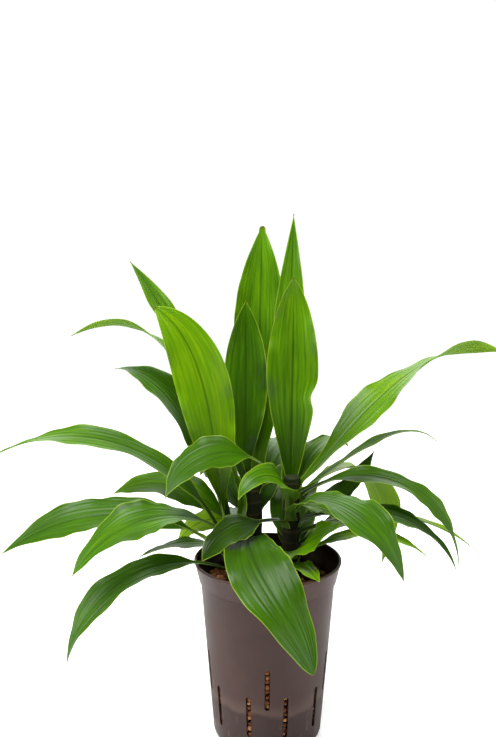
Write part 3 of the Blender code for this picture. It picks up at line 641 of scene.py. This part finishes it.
def blade_surface(s, v, number, stem, seat, side, turn, rise, tip, length, width, bend=1.2, sweep=0.0,
                  widest=0.45, roll=0.0, twist=0.0, hook=0.0, stalk=0.1, point=1.1, cup=18.0, grip=5.5,
                  neck=0.0, blunt=TIP_HALF):
    """Middle surface of a blade on a grid of s, from 0 to 1 along it, and v, from -1 to 1 across it,
    and half its width at each s.

    The midrib is walked from the foot: its slope goes from rise to tip, and its heading from side
    to turn. At each place the blade is an arc across the midrib. At the foot the arc is the cane's
    own and is grip wide each way, then it widens by neck over the stalk, opens to cup degrees, and
    rolls and twists about the midrib. The outline is a power of the way from the stalk times a power
    of the way to the tip, set by point, with its peak at widest. It ends in a half circle of the
    radius blunt, and a notch, as a bell curve, narrows one side. sweep turns the heading and hook
    raises the slope on the way to the tip. The edges rise and fall in
    waves, half a wave apart, with small ruffles on them, and the face has pleats, as cosines across
    it, and a groove, as a bell curve, over the midrib.
    """
    cane = CANES[stem]
    seat_radius = cane["radius"] + BLADE_SEAT
    steps = np.linspace(0.0, 1.0, MIDRIB_STEPS + 1)
    run = steps * length
    slope = np.radians(rise + (tip - rise) * steps ** bend + hook * steps ** 8)
    heading = np.radians(side + (turn - side) * smooth(run / SWING) + sweep * steps)
    free = np.stack([np.cos(heading) * np.cos(slope), np.sin(heading) * np.cos(slope),
                     np.sin(slope)], axis=1)
    leave = smooth(run / SHEATH)[:, None]
    along = unit((1.0 - leave) * cane_axis(cane) + leave * free)
    climb = seat - CLAY_TOP
    foot = np.array([cane["x"] + cane["lean_x"] * climb + seat_radius * math.cos(heading[0]),
                     cane["y"] + cane["lean_y"] * climb + seat_radius * math.sin(heading[0]), seat])
    halfway = (along[1:] + along[:-1]) / 2
    midrib = foot + np.vstack([np.zeros(3), np.cumsum(halfway, axis=0)]) * length / MIDRIB_STEPS

    level = np.stack([-np.sin(heading), np.cos(heading), np.zeros_like(heading)], axis=1)
    level = unit(level - along * np.sum(level * along, axis=1, keepdims=True))
    upper = np.cross(along, level)
    tilt = np.radians(roll * smooth((run - SHEATH * 0.6) / (ROLL_SHARE * length)) + twist * steps ** 3)
    tilt = tilt[:, None]
    across = level * np.cos(tilt) + upper * np.sin(tilt)
    face = upper * np.cos(tilt) - level * np.sin(tilt)

    blade = np.clip((steps - stalk) / (1.0 - stalk), 0.0, 1.0)
    power = point * widest / (1.0 - widest)
    peak = widest ** power * (1.0 - widest) ** point
    outline = blade ** power * (1.0 - blade) ** point / peak
    stalk_width = (grip + neck * smooth(run / NECK_RUN)) * (1.0 - steps) ** 2
    stalk_width += FLARE * np.exp(-run / FLARE_RUN)
    half = np.maximum(np.hypot(width / 2 * outline, stalk_width), blunt)
    hug = np.exp(-(run / (SHEATH * 0.8)) ** 2)
    wrap = math.degrees(half[0] / seat_radius)
    bow = np.radians(cup + (wrap - cup) * hug)
    ripple = WAVE * width * outline * smooth(steps / 0.2)
    ruffle = RUFFLE * width * outline * smooth(steps / 0.2)
    broad = np.minimum(outline, 1.0) * smooth((steps - stalk) / 0.25)

    def at(values):
        """The values at each row's own place along the midrib."""
        if values.ndim == 1:
            return np.interp(s, steps, values)[:, None]
        return np.stack([np.interp(s, steps, values[:, i]) for i in range(3)], axis=1)[:, None]

    s_column = s[:, None]
    edge_side, notch_place, notch_reach, notch_depth = NOTCHES.get(number, (1.0, 0.0, 1.0, 0.0))
    notch = notch_depth * np.exp(-((s_column - notch_place) / notch_reach) ** 2)
    from_tip = np.clip((1.0 - s_column) * length / blunt, 0.0, 1.0)
    rounding = np.sqrt(np.maximum(1.0 - (1.0 - from_tip) ** 2, 0.01))
    own_half = at(half) * rounding - notch * (v * edge_side > 0)
    turned = at(bow) * v
    sideways = own_half * np.sin(turned) / at(bow)
    lift = own_half * (1.0 - np.cos(turned)) / at(bow)
    phase = WAVES * s_column + WAVE_SHIFT * number + EDGE_SHIFT * np.sign(v)
    lift = lift + at(ripple) * v ** 2 * np.sin(math.tau * phase)
    quick = RUFFLES * s_column + 0.61 * number + 0.2 * np.sign(v) + 0.25 * np.sin(9.0 * s_column + number)
    lift = lift + at(ruffle) * v ** 4 * np.sin(math.tau * quick)
    from_midrib = np.abs(v) * width / 2 + PLEAT_DRIFT * np.sin(5.0 * s_column + number + np.sign(v))
    pleats = sum(np.cos(math.tau * from_midrib / pitch + number * pitch) for pitch in PLEAT_PITCHES)
    lift = lift + PLEAT * at(broad) * pleats * (1.0 - v ** 6) * np.minimum(np.abs(v) * 4.0, 1.0)
    over_midrib = np.exp(-(at(half) * v / GROOVE_WIDTH) ** 2)
    lift = lift - GROOVE * at(smooth(steps / 0.1) * (1.0 - steps)) * over_midrib
    surface = at(midrib) + at(across) * sideways[..., None] + at(face) * lift[..., None]
    return surface, at(half)


def leaf_mesh(number, leaf):
    """Both faces of a blade, half its thickness either side of the middle surface, closed along the
    edges and at the ends. The thickness falls from the midrib to the edge with v squared, and the
    lower face has the keel, a bell curve across that fades with the square of the way to the tip.
    Each point also gets its place (across, along, from the edge), its state (tone, which goes over
    to the tip's with a power of the way there, face, and share of the way) and its row's breadth."""
    rows = int(np.clip(leaf["length"] / ROW, *ROW_RANGE))
    columns = 2 * int(np.clip(leaf["width"] / COLUMN / 2, *COLUMN_RANGE))
    end = leaf.get("blunt", TIP_HALF) / leaf["length"]
    s = np.linspace(0.0, 1.0, rows + 1) ** CROWDING * (1.0 - end)
    round_tip = np.radians(np.linspace(TIP_START, 90.0, TIP_ROWS))
    s = np.concatenate([s, 1.0 - end * (1.0 - np.sin(round_tip))])
    rows = len(s) - 1
    v = np.linspace(-1.0, 1.0, columns + 1)[None, :]
    middle, half = blade_surface(s, v, number, **leaf)
    normal = unit(np.cross(np.gradient(middle, axis=0), np.gradient(middle, axis=1)))
    thick = (EDGE_THICKNESS + (MIDDLE_THICKNESS - EDGE_THICKNESS) * (1.0 - v ** 2)) / 2
    keel = KEEL * ((1.0 - s) ** 2)[:, None] * np.exp(-(half * v / GROOVE_WIDTH) ** 2)
    keel = keel * smooth(s * leaf["length"] / (2 * SHEATH))[:, None]
    upper = middle + normal * thick[..., None]
    lower = middle - normal * (thick + keel)[..., None]
    loop = np.concatenate([upper, lower[:, ::-1]], axis=1)
    around = loop.shape[1]
    faces = [grid_faces(rows + 1, around, ring=True)]
    for row, turn in ((0, 1), (rows, -1)):
        j = np.arange(columns)
        cap = np.stack([j, j + 1, around - 2 - j, around - 1 - j], axis=1)[:, ::turn]
        faces.append(row * around + cap)
    edge = np.concatenate([half * (1.0 - np.abs(v))] * 2, axis=1)
    vein = np.concatenate([v, v[:, ::-1]], axis=1) * leaf["width"] / 2 + 0 * s[:, None]
    run = s[:, None] * leaf["length"] + 0 * vein
    under = np.concatenate([np.zeros_like(v), np.ones_like(v)], axis=1) + 0 * run
    share = s[:, None] + 0 * run
    usual = TONES_WITH_PAINTED_LIGHT.get(number, USUAL_TONE)
    tone = usual + (TIP_TONES_WITH_PAINTED_LIGHT.get(number, usual) - usual) * share ** TONE_POWER
    breadth = smooth(half / leaf["width"] * 2.0) + 0 * run
    return (loop.reshape(-1, 3), faces, np.stack([vein, run, edge], axis=-1).reshape(-1, 3),
            np.stack([tone, under, share], axis=-1).reshape(-1, 3), breadth.reshape(-1))


# A living leaf under a waxy cuticle: glossy, deep green with lighter veins, lime along the margin,
# paler and duller below, brown at the very tip, and light green where light comes through it. Painted
# shade darkens each foot and the midrib's groove, and a painted highlight runs along the very edge.
VEIN_PITCH = 1.3                       # millimetres
STREAK_WEIGHT = 0.6                    # how much the fine streaks and the broad patches change the tone
PATCH_WEIGHT = 0.4
TONE_OFFSET = 0.5                      # takes out what the streaks and patches add on average
TRANSLUCENCE = 0.32
waxy_leaf, tree, shader = new_material("waxy_leaf")
blade = add(tree, "Attribute", attribute_name="blade").outputs["Vector"]
leaf = add(tree, "Attribute", attribute_name="leaf").outputs["Vector"]
blade_parts = add(tree, "SeparateXYZ", {0: blade})
leaf_parts = add(tree, "SeparateXYZ", {0: leaf})
vein, run, edge = [blade_parts.outputs[i] for i in range(3)]
tone, under, share = [leaf_parts.outputs[i] for i in range(3)]
seed = add(tree, "Attribute", attribute_name="seed").outputs["Fac"]
offset = add(tree, "CombineXYZ", {"Z": seed})
stretched = add(tree, "VectorMath", {0: blade, 1: (0.5, 0.02, 0.0)}, operation="MULTIPLY").outputs[0]
stretched = add(tree, "VectorMath", {0: stretched, 1: offset.outputs[0]}, operation="ADD").outputs[0]
streaks = add(tree, "TexNoise", {"Vector": stretched, "Scale": 1.0, "Detail": 3.0}).outputs["Fac"]
patches = add(tree, "VectorMath", {0: blade, 1: (0.05, 0.02, 0.0)}, operation="MULTIPLY").outputs[0]
patches = add(tree, "VectorMath", {0: patches, 1: offset.outputs[0]}, operation="ADD").outputs[0]
patches = add(tree, "TexNoise", {"Vector": patches, "Scale": 1.0, "Detail": 2.0}).outputs["Fac"]
light = add(tree, "Math", {0: streaks, 1: STREAK_WEIGHT, 2: tone}, operation="MULTIPLY_ADD").outputs[0]
light = add(tree, "Math", {0: patches, 1: PATCH_WEIGHT, 2: light}, operation="MULTIPLY_ADD").outputs[0]
light = add(tree, "Math", {0: light, 1: TONE_OFFSET}, operation="SUBTRACT").outputs[0]
green = ramp(tree, light, [(0.0, "#1b3600"), (0.4, "#396700"), (0.7, "#629400"), (1.0, "#94bb04")])
lines = add(tree, "Math", {0: vein, 1: math.tau / VEIN_PITCH}, operation="MULTIPLY").outputs[0]
lines = add(tree, "Math", {0: lines}, operation="COSINE").outputs[0]
breadth = add(tree, "Attribute", attribute_name="breadth").outputs["Fac"]
lines = add(tree, "Math", {0: lines, 1: breadth}, operation="MULTIPLY").outputs[0]
pale_lines = add(tree, "MapRange", {"Value": lines, 1: 0.3, 2: 1.0, 3: 0.0, 4: 0.1}).outputs[0]
green = blend(tree, pale_lines, green, "#9abf35")
# Painted shade: each blade is painted darker towards its foot, as the shade deep in the crown.
foot_painted_shade = add(tree, "MapRange", {"Value": share, 1: 0.05, 2: 0.5, 3: 0.6, 4: 0.0},
                 interpolation_type="SMOOTHSTEP").outputs[0]
green = blend(tree, foot_painted_shade, green, "#162d00")
# Painted shade: the upper face is painted darker along the midrib's groove, as the shade in the crease.
from_midrib = add(tree, "Math", {0: vein}, operation="ABSOLUTE").outputs[0]
groove = add(tree, "MapRange", {"Value": from_midrib, 1: 1.5, 2: 0.5, 3: 0.0, 4: 0.6}).outputs[0]
above = add(tree, "Math", {0: 1.0, 1: under}, operation="SUBTRACT").outputs[0]
groove = add(tree, "Math", {0: groove, 1: above}, operation="MULTIPLY").outputs[0]
green = blend(tree, groove, green, "#1d3803")
margin = add(tree, "MapRange", {"Value": edge, 1: 1.6, 2: 0.4, 3: 0.0, 4: 0.25},
             interpolation_type="SMOOTHSTEP")
green = blend(tree, margin.outputs[0], green, "#8fb013")
# Painted highlight: the very edge is painted paler than the lime margin, as light catching and shining
# through the thin edge.
rim = add(tree, "MapRange", {"Value": edge, 1: 0.7, 2: 0.35, 3: 0.0, 4: 0.5}).outputs[0]
green = blend(tree, rim, green, "#b4cf45")
underside = blend(tree, 0.4, green, "#6f9430")
green = blend(tree, under, green, underside)
dry = add(tree, "MapRange", {"Value": share, 1: 0.986, 2: 0.997, 3: 0.0, 4: 0.8}).outputs[0]
green = blend(tree, dry, green, "#5d4326")
tree.links.new(green, shader.inputs["Base Color"])
dullness = add(tree, "MapRange", {"Value": under, 3: 0.34, 4: 0.6}).outputs[0]
shader.inputs["Specular IOR Level"].default_value = 0.23
tree.links.new(dullness, shader.inputs["Roughness"])
bumps = add(tree, "Bump", {"Height": lines, "Strength": 0.2, "Distance": 0.00005})
relief = add(tree, "Math", {0: streaks, 1: breadth}, operation="MULTIPLY").outputs[0]
soft = add(tree, "Bump", {"Height": relief, "Strength": 0.3, "Distance": 0.0002,
                          "Normal": bumps.outputs[0]})
tree.links.new(soft.outputs[0], shader.inputs["Normal"])
lit_through = blend(tree, 0.5, green, "#a0c800")
through = add(tree, "BsdfTranslucent", {"Color": lit_through})
both = add(tree, "MixShader", {0: TRANSLUCENCE, 1: shader.outputs[0], 2: through.outputs[0]})
tree.links.new(both.outputs[0], tree.nodes["Material Output"].inputs["Surface"])

for number, leaf_sizes in enumerate(LEAVES, start=1):
    points, faces, blade_place, leaf_state, breadth = leaf_mesh(number, leaf_sizes)
    piece(f"blade_{number:02d}", points, faces, waxy_leaf, "leaf", f"leaf_{number:02d}",
          crease=60.0, blade=blade_place, leaf=leaf_state, breadth=breadth,
          seed=np.full(len(points), number * SEED_STEP))

# Studio: a round pale floor in an even white surround, a wide soft light overhead, and softer ones
# at the sides and behind. The room behind the camera is dark, so that the front faces keep colour.
FLOOR_RADIUS = 1.6                     # metres
FLOOR_SIDES = 96
floor_mesh = bpy.data.meshes.new("studio_floor")
turns = [math.tau * i / FLOOR_SIDES for i in range(FLOOR_SIDES)]
floor_points = [(FLOOR_RADIUS * math.cos(turn), FLOOR_RADIUS * math.sin(turn), 0.0) for turn in turns]
floor_mesh.from_pydata(floor_points, [], [list(range(FLOOR_SIDES))])
studio_floor = bpy.data.objects.new("studio_floor", floor_mesh)
scene.collection.objects.link(studio_floor)
white_board, tree, shader = new_material("white_board")
place = add(tree, "TexCoord").outputs["Object"]
fibres = add(tree, "TexNoise", {"Vector": place, "Scale": 60.0}).outputs["Fac"]
tree.links.new(ramp(tree, fibres, [(0.3, "#f7f7f7"), (0.7, "#fbfbfb")]), shader.inputs["Base Color"])
shader.inputs["Roughness"].default_value = 0.9
shader.inputs["Emission Color"].default_value = (1.0, 1.0, 1.0, 1.0)
seen = add(tree, "LightPath").outputs["Is Camera Ray"]
glow = add(tree, "Math", {0: seen, 1: 0.45}, operation="MULTIPLY").outputs[0]
tree.links.new(glow, shader.inputs["Emission Strength"])
white_board.cycles.emission_sampling = "NONE"
floor_mesh.materials.append(white_board)

world = bpy.data.worlds.new("studio")
scene.world = world
world.use_nodes = True
tree = world.node_tree
surround = tree.nodes["Background"]
surround.inputs["Color"].default_value = (1.0, 1.0, 1.0, 1.0)
seen = add(tree, "LightPath").outputs["Is Camera Ray"]
towards = add(tree, "SeparateXYZ", {0: add(tree, "TexCoord").outputs["Generated"]}).outputs["Y"]
room = add(tree, "MapRange", {"Value": towards, 1: -0.6, 2: 0.6, 3: 0.03, 4: 0.3},
           interpolation_type="SMOOTHSTEP").outputs[0]
strength = add(tree, "Mix", {0: seen, 2: room, 3: 1.1}).outputs[0]
tree.links.new(strength, surround.inputs["Strength"])


def softbox(name, place, aim, width, height, power):
    """An area light, in metres and watts, turned so that it shines from its place to its aim."""
    lamp = bpy.data.lights.new(name, "AREA")
    lamp.shape = "RECTANGLE"
    lamp.size = width
    lamp.size_y = height
    lamp.energy = power
    made = bpy.data.objects.new(name, lamp)
    scene.collection.objects.link(made)
    direction = Vector(aim) - Vector(place)
    made.location = place
    made.rotation_euler = direction.to_track_quat("-Z", "Y").to_euler()
    made.visible_camera = False


CROWN = (0.0, 0.0, 0.3)                # what the lights are aimed at
softbox("overhead", (-0.3, -0.5, 1.9), CROWN, 1.3, 1.1, 58.0)
softbox("left_side", (-1.7, -0.3, 0.8), CROWN, 0.9, 1.4, 28.0)
softbox("right_side", (1.7, -0.1, 0.8), CROWN, 0.9, 1.4, 14.0)
softbox("behind", (0.0, 1.9, 1.1), CROWN, 2.2, 1.4, 24.0)

scene.view_settings.view_transform = "Standard"
